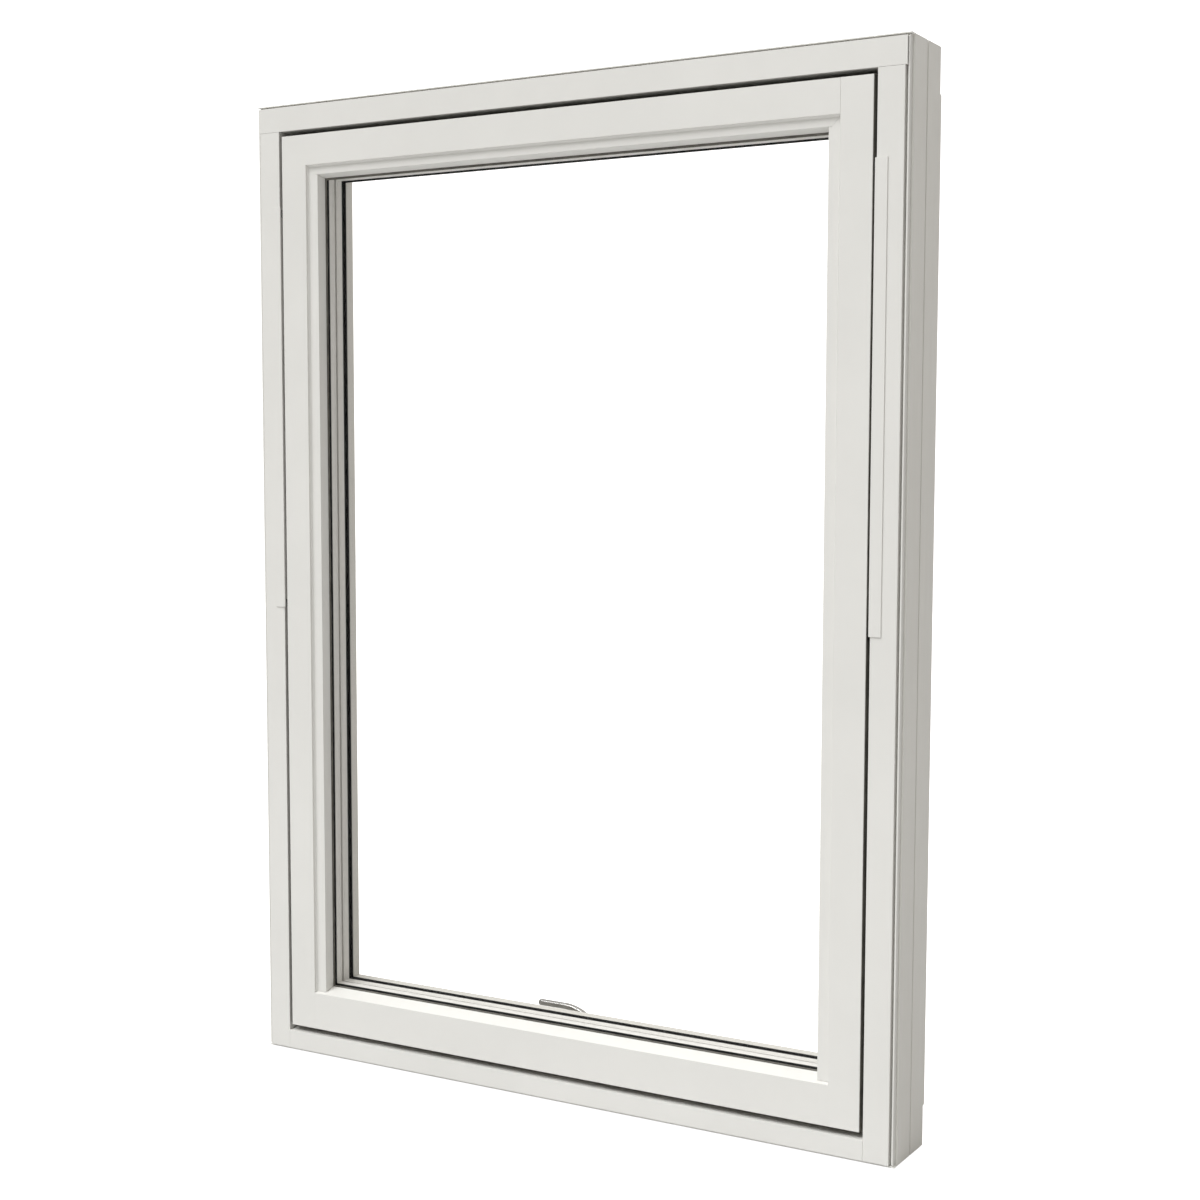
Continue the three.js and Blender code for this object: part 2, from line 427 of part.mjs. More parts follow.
// ---- opening gear: arms, sash pivot plates, guide shoes ----------------------------------------
for (const [side, s] of SIDES) {
  const armLine = [];
  for (let i = 0; i <= 12; i++) {
    const a = (Math.PI * i) / 12;
    armLine.push([Math.cos(a) * ARM_W / 2, ARM_LEN + Math.sin(a) * ARM_W / 2]);
  }
  for (let i = 0; i <= 12; i++) {
    const a = Math.PI + (Math.PI * i) / 12;
    armLine.push([Math.cos(a) * ARM_W / 2, Math.sin(a) * ARM_W / 2]);
  }
  const place = (q, z, x) => [s * x, yOf(PIVOT_D) + q, ARM_Z + z];
  const hole = (z) => sideRod(s, 5.3, ARM_X - 5, ARM_X + 8, PIVOT_D, z);
  add(`${side}_arm`, cut(run(armLine, place, ARM_X, ARM_X + ARM_T), hole(ARM_Z),
    hole(ARM_Z + ARM_LEN)), STEEL);
  add(`${side}_sash_pivot_plate`, cut(join(
    sideBox(s, PLATE.x0, PLATE.x1, PIVOT_D - PLATE.half, PIVOT_D + PLATE.half, PLATE.z0, PLATE.z1),
    sideRod(s, 5, PLATE.x1 - 1, ARM_X + ARM_T - 0.1, PIVOT_D, ARM_Z + ARM_LEN),
    sideRod(s, 8, PLATE.x1 - 1, ARM_X - 0.4, PIVOT_D, ARM_Z + ARM_LEN)),
  sideRod(s, 3.8, PLATE.x0 - 5, PLATE.x1 + 5, PIVOT_D, SHOE_Z)), STEEL);
  const { x0, x1, half } = TRACK;
  add(`${side}_guide_shoe`, join(
    sideBox(s, x0 + 1.8, x1 - 1.8, PIVOT_D - half + 1.9, PIVOT_D + half - 1.9, SHOE_Z - 9, SHOE_Z + 9),
    sideBox(s, EDGE_X + 1, x0 + 2, PIVOT_D - 5.5, PIVOT_D + 5.5, SHOE_Z - 5.5, SHOE_Z + 5.5),
    sideRod(s, 3.5, EDGE_X - 9, EDGE_X + 2, PIVOT_D, SHOE_Z)), NYLON);
}

// ---- lock: gearbox, face plate, rods, handle ---------------------------------------------------
add('lock_gearbox', cut(box(-GEARBOX.half, GEARBOX.half, yOf(GEARBOX.d0), yOf(GEARBOX.d1), GEARBOX.z0,
  GEARBOX.z1), rodY(5.3, yOf(40), yOf(80), 0, SPINDLE_Z)), STEEL);
add('lock_faceplate', box(-FACEPLATE.half, FACEPLATE.half, yOf(FACEPLATE.d0), yOf(FACEPLATE.d1),
  FACEPLATE.z0, FACEPLATE.z1), STEEL);
// Shut but not locked: lever level, rods drawn in clear of the keeps.
for (const [side, s] of SIDES) {
  add(`${side}_lock_rod`, sideBox(s, 28 - ROD_TRAVEL, REBATE_X + 6 - ROD_TRAVEL, ROD_D[0], ROD_D[1],
    ROD_Z[0], ROD_Z[1]), STEEL);
}
// Outline drawn in X and Z, given a thickness between two depths with rounded edges.
function plate(shape, d0, d1, bevel, curveSegments) {
  return new THREE.ExtrudeGeometry(shape, { depth: d1 - d0 - 2 * bevel, bevelThickness: bevel,
    bevelSize: bevel, bevelOffset: -bevel, bevelSegments: 3, curveSegments })
    .rotateX(Math.PI / 2).translate(0, yOf(d1) - bevel, 0);
}
const rose = new THREE.Shape();
rose.absarc(-20, SPINDLE_Z, 13, Math.PI / 2, -Math.PI / 2, false);
rose.absarc(20, SPINDLE_Z, 13, -Math.PI / 2, Math.PI / 2, false);
const ROSE_D = SASH_DEPTH + 8;                    // room face of the rosette
const GRIP_D = [SASH_DEPTH + 26, SASH_DEPTH + 36];
add('handle_rosette', cut(plate(rose, SASH_DEPTH + FIT, ROSE_D, 1.2, 12),
  rodY(8.4, yOf(SASH_DEPTH - 10), yOf(ROSE_D + 10), 0, SPINDLE_Z)), CHROME);
// Cranked grip: hub on the spindle, neck leaning over into a level bar.
const [BAR_LOW, BAR_HIGH] = [101.2, 109.8];
const grip = new THREE.Shape();
grip.moveTo(9.5, SPINDLE_Z);
grip.bezierCurveTo(9.5, 92, -8, BAR_HIGH - 0.3, -50, BAR_HIGH);
grip.lineTo(-92.5, BAR_HIGH);
grip.absarc(-92.5, (BAR_LOW + BAR_HIGH) / 2, (BAR_HIGH - BAR_LOW) / 2, Math.PI / 2, -Math.PI / 2, false);
grip.lineTo(-52, BAR_LOW);
grip.bezierCurveTo(-26, BAR_LOW - 0.5, -9.5, 92, -9.5, SPINDLE_Z);
grip.absarc(0, SPINDLE_Z, 9.5, Math.PI, 2 * Math.PI, false);
add('handle_lever', join(plate(grip, ...GRIP_D, 2.5, 10),
  rodY(8, yOf(SASH_DEPTH + 2.5), yOf(GRIP_D[0] + 4), 0, SPINDLE_Z),
  box(-3.5, 3.5, yOf(54), yOf(ROSE_D), SPINDLE_Z - 3.5, SPINDLE_Z + 3.5)), CHROME);

export default group;
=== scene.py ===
# Top-guided outward-opening window: painted timber, aluminium outside, triple glazed.
# Metres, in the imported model's own frame: +Z up, -Y the weather side, +Y the room.
import json
import math
import bmesh
import bpy
from mathutils import Matrix, Vector

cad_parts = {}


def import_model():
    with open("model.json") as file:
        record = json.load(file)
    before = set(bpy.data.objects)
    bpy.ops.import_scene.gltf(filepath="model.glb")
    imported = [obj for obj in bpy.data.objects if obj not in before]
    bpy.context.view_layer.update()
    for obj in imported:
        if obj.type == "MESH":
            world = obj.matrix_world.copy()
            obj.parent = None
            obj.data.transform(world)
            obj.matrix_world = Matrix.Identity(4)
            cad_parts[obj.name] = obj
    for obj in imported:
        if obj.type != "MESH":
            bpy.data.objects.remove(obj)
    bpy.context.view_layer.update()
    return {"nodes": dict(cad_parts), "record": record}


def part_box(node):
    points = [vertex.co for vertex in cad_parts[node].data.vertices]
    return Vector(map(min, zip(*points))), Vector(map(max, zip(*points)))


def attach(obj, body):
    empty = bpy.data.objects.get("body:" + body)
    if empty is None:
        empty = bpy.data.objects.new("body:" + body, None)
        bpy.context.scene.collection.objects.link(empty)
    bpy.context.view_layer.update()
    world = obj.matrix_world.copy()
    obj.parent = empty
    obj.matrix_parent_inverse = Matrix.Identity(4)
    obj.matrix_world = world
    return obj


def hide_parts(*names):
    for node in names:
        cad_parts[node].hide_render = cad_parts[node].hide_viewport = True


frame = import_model()
MM = 0.001
scene = bpy.context.scene
SIDES = (("left", -1), ("right", 1))


def body_of_node(node):
    return next(b for b, nodes in frame["record"]["behaviour"]["bodies"].items() if node in nodes)


# ---- material helpers -------------------------------------------------------------------------
class Mat:
    """A Principled material under construction, with object coordinates to hand."""

    def __init__(self, name, color, roughness, metallic=0.0, specular=0.5):
        self.mat = bpy.data.materials.new(name)
        self.mat.use_nodes = True
        self.tree = self.mat.node_tree
        self.bsdf = self.tree.nodes["Principled BSDF"]
        self.bsdf.inputs["Base Color"].default_value = (*color, 1)
        self.bsdf.inputs["Roughness"].default_value = roughness
        self.bsdf.inputs["Metallic"].default_value = metallic
        self.bsdf.inputs["Specular IOR Level"].default_value = specular
        self.at = self.tree.nodes.new("ShaderNodeTexCoord").outputs["Object"]
        self.last_normal = None

    def node(self, kind, **props):
        n = self.tree.nodes.new(kind)
        for key, value in props.items():
            setattr(n, key, value)
        return n

    def link(self, a, b):
        self.tree.links.new(a, b)

    def stretched(self, scale):
        m = self.node("ShaderNodeMapping")
        m.inputs["Scale"].default_value = scale
        self.link(self.at, m.inputs["Vector"])
        return m.outputs["Vector"]

    def noise(self, scale, detail=4.0, rough=0.55, stretch=None, distortion=0.0):
        n = self.node("ShaderNodeTexNoise")
        n.inputs["Scale"].default_value = scale
        n.inputs["Detail"].default_value = detail
        n.inputs["Roughness"].default_value = rough
        n.inputs["Distortion"].default_value = distortion
        self.link(self.stretched(stretch) if stretch else self.at, n.inputs["Vector"])
        return n.outputs["Fac"]

    def voronoi(self, scale, output="Distance"):
        n = self.node("ShaderNodeTexVoronoi")
        n.inputs["Scale"].default_value = scale
        self.link(self.at, n.inputs["Vector"])
        return n.outputs[output]

    def span(self, value, low, high, a=0.3, b=0.7):
        """value between a and b mapped to low and high."""
        n = self.node("ShaderNodeMapRange")
        for key, x in (("From Min", a), ("From Max", b), ("To Min", low), ("To Max", high)):
            n.inputs[key].default_value = x
        self.link(value, n.inputs["Value"])
        return n.outputs["Result"]

    def add(self, x, y, operation="ADD"):
        """Two values added, or joined by another operation; a float is a constant."""
        n = self.node("ShaderNodeMath", operation=operation)
        for socket, v in zip(n.inputs, (x, y)):
            if isinstance(v, float):
                socket.default_value = v
            else:
                self.link(v, socket)
        return n.outputs[0]

    def tint(self, value, dark, light, a=0.3, b=0.7):
        """Base colour between two shades, by value."""
        ramp = self.node("ShaderNodeValToRGB")
        ramp.color_ramp.elements[0].position, ramp.color_ramp.elements[1].position = a, b
        ramp.color_ramp.elements[0].color = (*dark, 1)
        ramp.color_ramp.elements[1].color = (*light, 1)
        self.link(value, ramp.inputs["Fac"])
        self.link(ramp.outputs["Color"], self.bsdf.inputs["Base Color"])

    def rough(self, value, low, high):
        """Roughness between two limits, by value."""
        self.link(self.span(value, low, high), self.bsdf.inputs["Roughness"])

    def bump(self, value, height, strength):
        """Fine relief, height in metres, on top of any bump made before."""
        n = self.node("ShaderNodeBump")
        n.inputs["Strength"].default_value = strength
        n.inputs["Distance"].default_value = height
        self.link(value, n.inputs["Height"])
        if self.last_normal:
            self.link(self.last_normal, n.inputs["Normal"])
        self.last_normal = n.outputs["Normal"]
        self.link(self.last_normal, self.bsdf.inputs["Normal"])


def shade(color, k):
    return tuple(c * k for c in color)


PAINT_RGB = (0.765, 0.75, 0.705)
COAT_RGB = (0.79, 0.78, 0.745)
SPACER_RGB = (0.8, 0.785, 0.75)
GLASS_RGB = (0.999, 0.9985, 0.997)
GLASS_MIRROR = 0.004     # reflection of a pane seen square on


def powder_coat():
    m = Mat("coated_aluminium", COAT_RGB, 0.42, specular=0.4)
    m.tint(m.noise(7, 5), shade(COAT_RGB, 0.975), shade(COAT_RGB, 1.015))
    m.rough(m.noise(60, 5), 0.36, 0.48)
    m.bump(m.noise(1500, 3), 0.00004, 0.5)         # orange peel of the powder
    m.bump(m.noise(220, 2), 0.00006, 0.35)
    return m.mat


def timber_paint(name, stretch):
    """Opaque paint over planed timber; stretch runs the grain along the piece."""
    m = Mat(name, PAINT_RGB, 0.4, specular=0.45)
    grain = m.noise(1, 9, 0.62, stretch=stretch, distortion=0.35)
    patches = m.add(grain, m.noise(5, 4), "MULTIPLY")
    m.tint(patches, shade(PAINT_RGB, 0.975), shade(PAINT_RGB, 1.01), 0.12, 0.38)
    m.rough(m.noise(45, 6), 0.33, 0.47)
    m.bump(grain, 0.00012, 0.3)
    m.bump(m.noise(900, 3), 0.00003, 0.4)
    return m.mat


def rubber(name, tone):
    m = Mat(name, tone, 0.62, specular=0.35)
    m.tint(m.noise(40, 6), shade(tone, 0.72), shade(tone, 1.4))
    m.rough(m.noise(160, 5), 0.5, 0.75)
    m.bump(m.noise(2400, 4), 0.00005, 0.5)
    return m.mat


def spacer():
    m = Mat("spacer_bar", SPACER_RGB, 0.42)
    m.tint(m.noise(90, 5), (0.78, 0.765, 0.73), (0.82, 0.805, 0.77))
    m.bump(m.voronoi(520), 0.00008, 0.5)           # breathing holes
    m.rough(m.noise(300, 4), 0.34, 0.5)
    return m.mat


def steel(name, color, low, high, stretch):
    """Zinc or mill metal: spangle under drawn streaks, roughness from low to high."""
    m = Mat(name, color, (low + high) / 2, metallic=1.0)
    spangle = m.voronoi(170, output="Color")
    m.tint(m.add(m.noise(1, 8, 0.6, stretch=stretch), m.span(spangle, -0.06, 0.06, 0, 1)),
           shade(color, 0.84), shade(color, 1.05))
    m.rough(m.noise(1, 6, 0.6, stretch=stretch), low, high)
    m.bump(m.noise(1, 8, 0.7, stretch=stretch), 0.00005, 0.35)
    return m.mat


def chrome():
    m = Mat("satin_chrome", (0.41, 0.405, 0.395), 0.26, metallic=1.0)
    brushed = m.noise(1, 8, 0.65, stretch=(70, 1400, 1400))
    m.tint(brushed, (0.35, 0.345, 0.335), (0.45, 0.445, 0.435))
    m.rough(brushed, 0.2, 0.34)
    m.bump(brushed, 0.00002, 0.4)
    return m.mat


def plastic(name, color):
    m = Mat(name, color, 0.5, specular=0.4)
    m.tint(m.noise(150, 5), shade(color, 0.85), shade(color, 1.2))
    m.rough(m.noise(500, 4), 0.42, 0.6)
    m.bump(m.noise(1800, 3), 0.00005, 0.5)
    return m.mat


def glass():
    """Thin clear panes: a mirror by Schlick's law, the same from both sides, else see-through."""
    mat = bpy.data.materials.new("clear_glass")
    mat.use_nodes = True
    t = mat.node_tree
    t.nodes.clear()
    new = t.nodes.new
    out, mix = new("ShaderNodeOutputMaterial"), new("ShaderNodeMixShader")
    clear, gloss = new("ShaderNodeBsdfTransparent"), new("ShaderNodeBsdfGlossy")
    facing, power = new("ShaderNodeLayerWeight"), new("ShaderNodeMath")
    span = new("ShaderNodeMapRange")
    at, wave, bump = new("ShaderNodeTexCoord"), new("ShaderNodeTexNoise"), new("ShaderNodeBump")
    power.operation = "POWER"
    power.inputs[1].default_value = 5.0
    span.inputs["To Min"].default_value = GLASS_MIRROR
    wave.inputs["Scale"].default_value = 2.5
    bump.inputs["Strength"].default_value = 0.05
    bump.inputs["Distance"].default_value = 0.001
    clear.inputs["Color"].default_value = (*GLASS_RGB, 1)
    gloss.inputs["Roughness"].default_value = 0.0
    for a, b in (
        (at.outputs["Object"], wave.inputs["Vector"]),
        (wave.outputs["Fac"], bump.inputs["Height"]),
        (bump.outputs["Normal"], gloss.inputs["Normal"]),
        (facing.outputs["Facing"], power.inputs[0]),
        (power.outputs[0], span.inputs["Value"]),
        (span.outputs["Result"], mix.inputs[0]),
        (clear.outputs[0], mix.inputs[1]),
        (gloss.outputs[0], mix.inputs[2]),
        (mix.outputs[0], out.inputs["Surface"]),
    ):
        t.links.new(a, b)
    return mat


MATS = {
    "painted_timber_upright": timber_paint("painted_timber_upright", (130, 130, 5)),
    "painted_timber_level": timber_paint("painted_timber_level", (5, 130, 130)),
    "coated_aluminium": powder_coat(),
    "bare_aluminium": steel("bare_aluminium", (0.7, 0.705, 0.71), 0.3, 0.42, (900, 900, 12)),
    "rubber_seal": rubber("rubber_seal", (0.013, 0.013, 0.013)),
    # grey rubber for the outer gasket; on the lip round the sash edge its darkness is painted shade for the
    # gap round the sash
    "weathered_rubber": rubber("weathered_rubber", (0.125, 0.12, 0.104)),
    "glass": glass(),
    "spacer_bar": spacer(),
    "zinc_steel": steel("zinc_steel", (0.56, 0.565, 0.57), 0.28, 0.45, (400, 400, 60)),
    "satin_chrome": chrome(),
    "black_plastic": plastic("black_plastic", (0.02, 0.02, 0.02)),
    "nylon": plastic("nylon", (0.05, 0.05, 0.052)),
}
SLOT_OF = {row["node"]: row["material_slot"] for row in frame["record"]["subparts"]}
LEVEL = ("head", "sill", "top", "bottom")      # first words of the nodes whose grain runs along X


def material_for(node):
    slot = SLOT_OF[node]
    # the outer gasket is grey rubber, the same material that paints the shade in the gap round the sash
    if node == "outer_glazing_gasket":
        return MATS["weathered_rubber"]
    if slot == "painted_timber":
        slot += "_level" if node.split("_")[0] in LEVEL else "_upright"
    return MATS[slot]


# ---- mesh helpers -----------------------------------------------------------------------------
def place(name, bm, node_or_slot, body, replaced=(), material=None):
    """A finished mesh as a piece: its material, chosen by node or slot, its body, and the CAD nodes that it
    stands for, which are hidden.
    """
    mesh = bpy.data.meshes.new(name)
    bm.to_mesh(mesh)
    bm.free()
    obj = bpy.data.objects.new(name, mesh)
    scene.collection.objects.link(obj)
    if node_or_slot in SLOT_OF:
        mesh.materials.append(material_for(node_or_slot))
    else:
        mesh.materials.append(MATS[material or node_or_slot])
    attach(obj, body)
    if replaced:
        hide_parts(*replaced)
    return obj


SHARP = 25                 # degrees: an edge bent at least this much is rounded
FLAT = 1                   # degrees: faces bent more than this, but not sharply, are shaded smooth
LEAST_ROUND = 0.06 * MM    # a thinner rounding than this isn't made


def never(a, b):
    return False


def soften(obj, width, segments=3, keep_sharp=never):
    """Rounded edges: every sharp edge gets up to width, less where its faces are narrow."""
    bm = bmesh.new()
    bm.from_mesh(obj.data)
    layer = bm.edges.layers.float.new("bevel_weight_edge")
    for f in bm.faces:
        f.smooth = False
    for e in bm.edges:
        if len(e.link_faces) != 2:
            continue
        bend = math.degrees(e.calc_face_angle(0.0))
        if bend < SHARP:
            if bend > FLAT:
                for f in e.link_faces:
                    f.smooth = True
            continue
        a, b = (v.co for v in e.verts)
        e.smooth = False
        if keep_sharp(a, b):
            continue
        along = (b - a).normalized()
        reach = [e.calc_length()]
        for f in e.link_faces:
            reach.append(max(((v.co - a) - along * (v.co - a).dot(along)).length for v in f.verts))
        weight = min(1.0, 0.38 * min(reach) / width)
        if weight * width > LEAST_ROUND:
            e[layer] = weight
    bm.to_mesh(obj.data)
    bm.free()
    mod = obj.modifiers.new("rounded_edges", "BEVEL")
    mod.limit_method, mod.width, mod.segments = "WEIGHT", width, segments
    mod.use_clamp_overlap, mod.harden_normals = False, False
    return obj


FLAT_STILE = 46 * MM       # flat face of the stiles, where the rail caps butt
FLAT_RAIL = 59 * MM        # the flat faces of the rails end below this height
UPPER_HALF = 1.0           # a height between the two rails
NEAR = 0.4 * MM            # coordinates this close are the same corner
SASH_CAPS = ("left_stile_cap", "right_stile_cap", "top_rail_cap", "bottom_rail_cap")
CLOSE_UP = {               # how far a piece reaches on into its left and its right joint gap
    "top_rail_cap": (0.13 * MM, 0.0),
    "bottom_rail_cap": (0.13 * MM, 0.13 * MM),
    "sill_cap": (0.27 * MM, 0.1 * MM),
}


def tight_joint(a, b):
    """True on the edges where sash caps meet so closely that the joint doesn't show."""
    low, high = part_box("left_stile_cap")[0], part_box("right_stile_cap")[1]
    for v in (a, b):
        inset_x = min(v.x - low[0], high[0] - v.x)
        inset_z = min(v.z - low[2], high[2] - v.z)
        at_top = v.z > UPPER_HALF
        a_little_open = at_top and v.x > 0
        butt = not a_little_open and abs(inset_x - FLAT_STILE) < NEAR and inset_z < FLAT_RAIL
        mitre = at_top and abs(inset_x - inset_z) < NEAR and inset_x > FLAT_STILE - NEAR
        if not (butt or mitre):
            return False
    across, upward = abs(a.x - b.x), abs(a.z - b.z)
    return abs(a.y - b.y) > 0.1 * MM or across < NEAR or abs(across - upward) < NEAR


def refine(node, width):
    """The CAD node's own shape with rounded edges, as a new piece."""
    bm = bmesh.new()
    bm.from_mesh(frame["nodes"][node].data)
    bmesh.ops.remove_doubles(bm, verts=bm.verts, dist=1e-6)
    bmesh.ops.dissolve_limit(bm, angle_limit=math.radians(0.4), verts=bm.verts, edges=bm.edges)
    bmesh.ops.dissolve_degenerate(bm, dist=1e-6, edges=bm.edges)
    left, right = CLOSE_UP.get(node, (0, 0))
    for v in bm.verts:
        v.co.x += right if v.co.x > 0 else -left
    piece = place(f"{node}_rounded", bm, node, body_of_node(node), (node,))
    soften(piece, width, keep_sharp=tight_joint if node in SASH_CAPS else never)


SQUARE = ((-1, -1), (1, -1), (1, 1), (-1, 1))      # the four corners, going round


def ring_sweep(x0, x1, z0, z1, section):
    """A section of (out, y) swept round an opening seen from the front, with mitred corners."""
    bm = bmesh.new()
    rings = []
    for sx, sz in SQUARE:
        rings.append([bm.verts.new((x0 - out if sx < 0 else x1 + out, y, z0 - out if sz < 0 else z1 + out))
                      for out, y in section])
    n = len(section)
    for k, a in enumerate(rings):
        b = rings[(k + 1) % len(rings)]
        for i in range(n):
            bm.faces.new((a[i], b[i], b[(i + 1) % n], a[(i + 1) % n]))
    bmesh.ops.recalc_face_normals(bm, faces=bm.faces)
    return bm


def arc(cx, cy, r, start, end, steps):
    """Points on an arc, angles in degrees."""
    angles = (math.radians(start + (end - start) * i / steps) for i in range(steps + 1))
    return [(cx + r * math.cos(a), cy + r * math.sin(a)) for a in angles]


def loft(bm, rings):
    """Skin over equal rings of points; the ends are closed flat."""
    made = [[bm.verts.new(p) for p in ring] for ring in rings]
    n = len(made[0])
    for a, b in zip(made, made[1:]):
        for i in range(n):
            bm.faces.new((a[i], a[(i + 1) % n], b[(i + 1) % n], b[i])).smooth = True
    bm.faces.new(made[0][::-1])
    bm.faces.new(made[-1])


def turned(bm, origin, axis, profile, sides=32):
    """A turned shape: profile of (distance along axis, radius or radius(angle)) from an origin."""
    axis = Vector(axis).normalized()
    side = axis.orthogonal().normalized()
    other = axis.cross(side)
    rings = []
    for along, radius in profile:
        ring = []
        for i in range(sides):
            a = 2 * math.pi * i / sides
            r = radius(a) if callable(radius) else radius
            ring.append(Vector(origin) + axis * along + (side * math.cos(a) + other * math.sin(a)) * r)
        rings.append(ring)
    loft(bm, rings)


HEAD_PROUD = 0.35 * MM     # how far a screw head stands out of its plate


def screw_heads(name, body, r, spots):
    """Countersunk heads with a six-lobed socket: spots are (point on the surface, outward axis)."""
    def lobe(angle):
        return r * (0.44 + 0.07 * math.cos(6 * angle))

    profile = [(-0.4 * MM, r * 0.9), (0.0, r), (HEAD_PROUD * 0.6, r * 0.97), (HEAD_PROUD, r * 0.86),
               (HEAD_PROUD * 1.15, r * 0.6), (HEAD_PROUD * 0.9, lobe), (-1.3 * r * 0.3, lobe)]
    bm = bmesh.new()
    for point, axis in spots:
        turned(bm, point, axis, profile, 24)
    bmesh.ops.recalc_face_normals(bm, faces=bm.faces)
    place(name, bm, "zinc_steel", body)


# ---- pieces -----------------------------------------------------------------------------------
EDGE_MM = {"painted_timber": 1.3, "coated_aluminium": 0.4, "bare_aluminium": 0.35, "zinc_steel": 0.45,
           "black_plastic": 0.5, "nylon": 0.6, "rubber_seal": 0.35, "satin_chrome": 0.6}
OWN_SHAPE = ("outer_spacer", "inner_spacer", "outer_glazing_gasket", "inner_glazing_gasket",
             "handle_lever")
for node in frame["nodes"]:
    slot = SLOT_OF[node]
    if slot == "glass":
        obj = frame["nodes"][node]
        obj.data.materials.clear()
        obj.data.materials.append(MATS["glass"])
    elif node not in OWN_SHAPE:
        refine(node, EDGE_MM[slot] * MM)


def glazing_gasket(node, opening, width):
    """A gasket with a round nose, two ribs and a flat back against the glass."""
    (_, y0, _), (_, y1, _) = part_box(node)
    r = (y1 - y0) / 2
    section = arc(r, (y0 + y1) / 2, r, 90, 270, 8)
    for k in (0.35, 0.6):
        section += [(width * k, y0), (width * k + 0.4 * MM, y0 + 0.5 * MM), (width * k + 0.8 * MM, y0)]
    section += [(width, y0), (width, y1)]
    place(f"{node}_profile", ring_sweep(*opening, section), node, "sash", (node,))


def opening_between(left, right, low, high):
    """Opening seen from the front, from the inner edges of four nodes."""
    return (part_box(left)[1][0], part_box(right)[0][0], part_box(low)[1][2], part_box(high)[0][2])


OUTER_LIP = 2 * MM         # outer gasket past the aluminium on the stiles and the bottom rail
OUTER_DROP = 3 * MM        # and past the top rail
INNER_DROP = 2.7 * MM      # inner gasket past the lip of the top rail
x0, x1, z0, z1 = opening_between("left_stile_cap", "right_stile_cap", "bottom_rail_cap", "top_rail_cap")
glazing_gasket("outer_glazing_gasket",
               (x0 + OUTER_LIP, x1 - OUTER_LIP, z0 + OUTER_LIP, z1 - OUTER_DROP), 9 * MM)
x0, x1, z0, z1 = opening_between("left_stile_timber", "right_stile_timber", "bottom_rail_timber",
                                 "top_rail_timber")
glazing_gasket("inner_glazing_gasket", (x0, x1, z0, z1 - INNER_DROP), 7.5 * MM)

BAR, SEAL = 7.5 * MM, 11 * MM          # height of a spacer bar, and of the sealed edge with it
TO_GLASS = 0.27 * MM                   # from the solid of a spacer to the panes
GROOVE = 0.4 * MM
CREEP = 2.4 * MM                       # how far the black seal shows beside the bar


def sealed_edge(node, from_room):
    """A spacer bar with two grooves, and the seal that shows on its side of one pane."""
    (x0, y0, z0), (x1, y1, z1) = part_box(node)
    opening = (x0 + SEAL, x1 - SEAL, z0 + SEAL, z1 - SEAL)

    def at(y):
        """Depth from the sealed side of this cavity."""
        return y1 - y if from_room else y0 + y

    deep = y1 - y0
    far = at(deep + TO_GLASS)
    bar = [(0.4 * MM, at(0.4 * MM)), (0, at(0.8 * MM))]
    for k in (0.3, 0.8):
        bar += [(0, at(deep * k - GROOVE)), (GROOVE, at(deep * k)), (0, at(deep * k + GROOVE))]
    bar += [(0, at(deep)), (0.2 * MM, far), (BAR, far), (BAR, at(0.4 * MM))]
    place(f"{node}_bar", ring_sweep(*opening, bar), node, "sash", (node,))
    seal = [(-0.25 * MM, at(CREEP * 0.5)), (-0.1 * MM, at(-TO_GLASS)), (SEAL, at(-TO_GLASS)), (SEAL, far),
            (BAR + 0.05 * MM, far), (BAR + 0.05 * MM, at(0.35 * MM)), (0.4 * MM, at(0.35 * MM)),
            (-0.05 * MM, at(CREEP))]
    place(f"{node.split('_')[0]}_edge_seal", ring_sweep(*opening, seal), "rubber_seal", "sash")


sealed_edge("outer_spacer", from_room=False)
sealed_edge("inner_spacer", from_room=True)


def sash_seal_and_gap_shade():
    """A flat lip round the sash edge, just behind the face of its caps: a seal, whose dark grey rubber is
    also painted shade for the gap round the sash.
    """
    x0, front, z0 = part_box("left_stile_cap")[0]
    x1, _, z1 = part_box("right_stile_cap")[1]
    lip = [(out * MM, front + behind * MM) for out, behind in (
        (-0.1, 1.2), (0.3, 1.3), (0.5, 1.8), (0.5, 12.6), (0.3, 13), (-0.1, 13))]
    place("sash_weather_seal", ring_sweep(x0, x1, z0, z1, lip), "rubber_seal", "sash",
          material="weathered_rubber")


sash_seal_and_gap_shade()


def bezier(a, b, c, d, t):
    k = 1 - t
    return a * k ** 3 + b * 3 * k * k * t + c * 3 * k * t * t + d * t ** 3


BAR_DEEP, BAR_HIGH = 4.8 * MM, 4.5 * MM    # half of the lever's section
CRANK_STEPS, STRAIGHT_STEPS, SWELL_STEPS = 16, 14, 13
END_ROUND = 1.4 * MM                       # length over which the free end is rounded off


def lever_path(hub, tip_x, bar_z):
    """Points along the middle of the lever: a crank up from the hub, then level to the tip."""
    points = [Vector((x, 0, z)) for x, z in ((hub.x, hub.z), (hub.x - 6 * MM, hub.z + 19 * MM),
                                             (hub.x - 24 * MM, bar_z), (hub.x - 51 * MM, bar_z))]
    path = [bezier(*points, i / CRANK_STEPS) for i in range(CRANK_STEPS + 1)]
    bend_x = path[-1].x
    for i in range(1, STRAIGHT_STEPS + 1):
        path.append(Vector((bend_x + (tip_x - bend_x) * (1 - (1 - i / STRAIGHT_STEPS) ** 1.5), 0, bar_z)))
    return path


def lever_ring(x, mid_y, z, across, wide, end_round, sides=28):
    """The rounded oblong of the lever's section; end_round shrinks it towards the tip."""
    ring = []
    for k in range(sides):
        a = 2 * math.pi * k / sides
        c, q = math.cos(a), math.sin(a)
        u = math.copysign(abs(c) ** 0.62, c) * wide * end_round
        v = math.copysign(abs(q) ** 0.72, q) * BAR_DEEP * (0.35 + 0.65 * end_round)
        ring.append(Vector((x, mid_y + v, z)) + across * u)
    return ring


